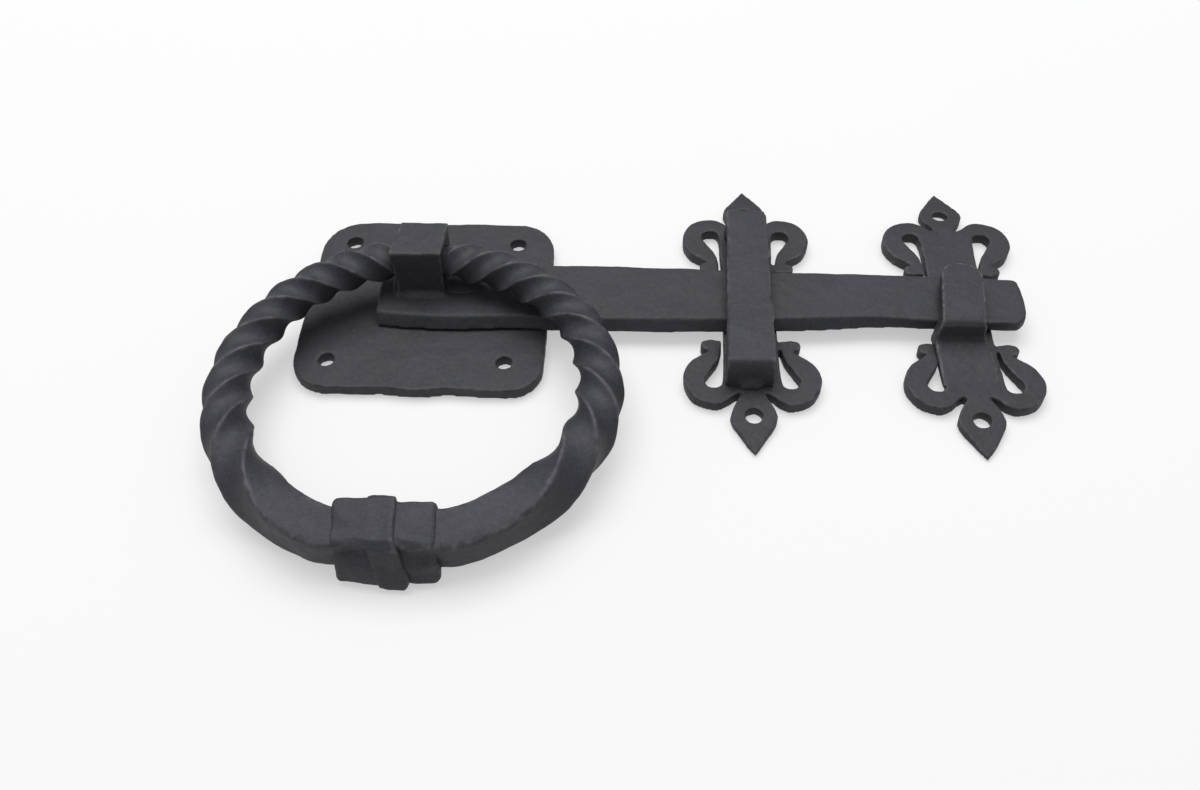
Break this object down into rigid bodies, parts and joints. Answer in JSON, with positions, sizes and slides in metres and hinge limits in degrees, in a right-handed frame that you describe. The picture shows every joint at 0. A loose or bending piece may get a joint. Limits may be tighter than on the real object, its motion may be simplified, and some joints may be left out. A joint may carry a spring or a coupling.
{
  "type": "ring handle gate latch",
  "caption": "Black forged gate latch: a screwed backplate whose twisted ring turns a flat bar, a fleur-de-lis bridge guide and a fleur-de-lis hook keeper.",
  "frame": {"origin": "centre of the backplate's four screw holes, on the backplate's back face", "axes": "+X along the latch bar towards the keeper, +Y up on the gate, +Z out of the gate"},
  "size_m": [0.29, 0.1907, 0.0306],
  "materials": {
    "plate_iron": "hammered wrought iron, blackened and waxed",
    "fleur_iron": "forged iron with filed edges, blackened",
    "strap_iron": "forged strap, blackened, edges rubbed",
    "bar_iron": "forged flat bar, blackened, fine grained",
    "boss_iron": "forged block, blackened, worn corners",
    "ring_iron": "twisted square bar, blackened, ridges rubbed pale",
    "collar_iron": "forged collar, blackened, faceted by the hammer",
    "washer_steel": "oiled steel washer"
  },
  "bodies": {
    "plates": {"backplate": "plate_iron", "guide_plate": "fleur_iron", "guide_bridge": "strap_iron", "keeper_plate": "fleur_iron", "keeper_hook": "strap_iron"},
    "latch": {"latch_bar": "bar_iron", "ring_boss": "boss_iron", "pivot_washer": "washer_steel", "rivet_washer": "washer_steel"},
    "handle": {"ring": "ring_iron", "ring_collar": "collar_iron", "collar_band": "collar_iron"}
  },
  "joints": [
    {"name": "latch_lift", "type": "hinge", "parent": "plates", "child": "latch", "pos_m": [0, 0.0057, 0.0075], "axis": [0, 0, 1], "range_deg": [0, 9.5]},
    {"name": "ring_swing", "type": "hinge", "parent": "latch", "child": "handle", "pos_m": [0, 0.0048, 0.0202], "axis": [-1, 0, 0], "range_deg": [0, 188]}
  ]
}
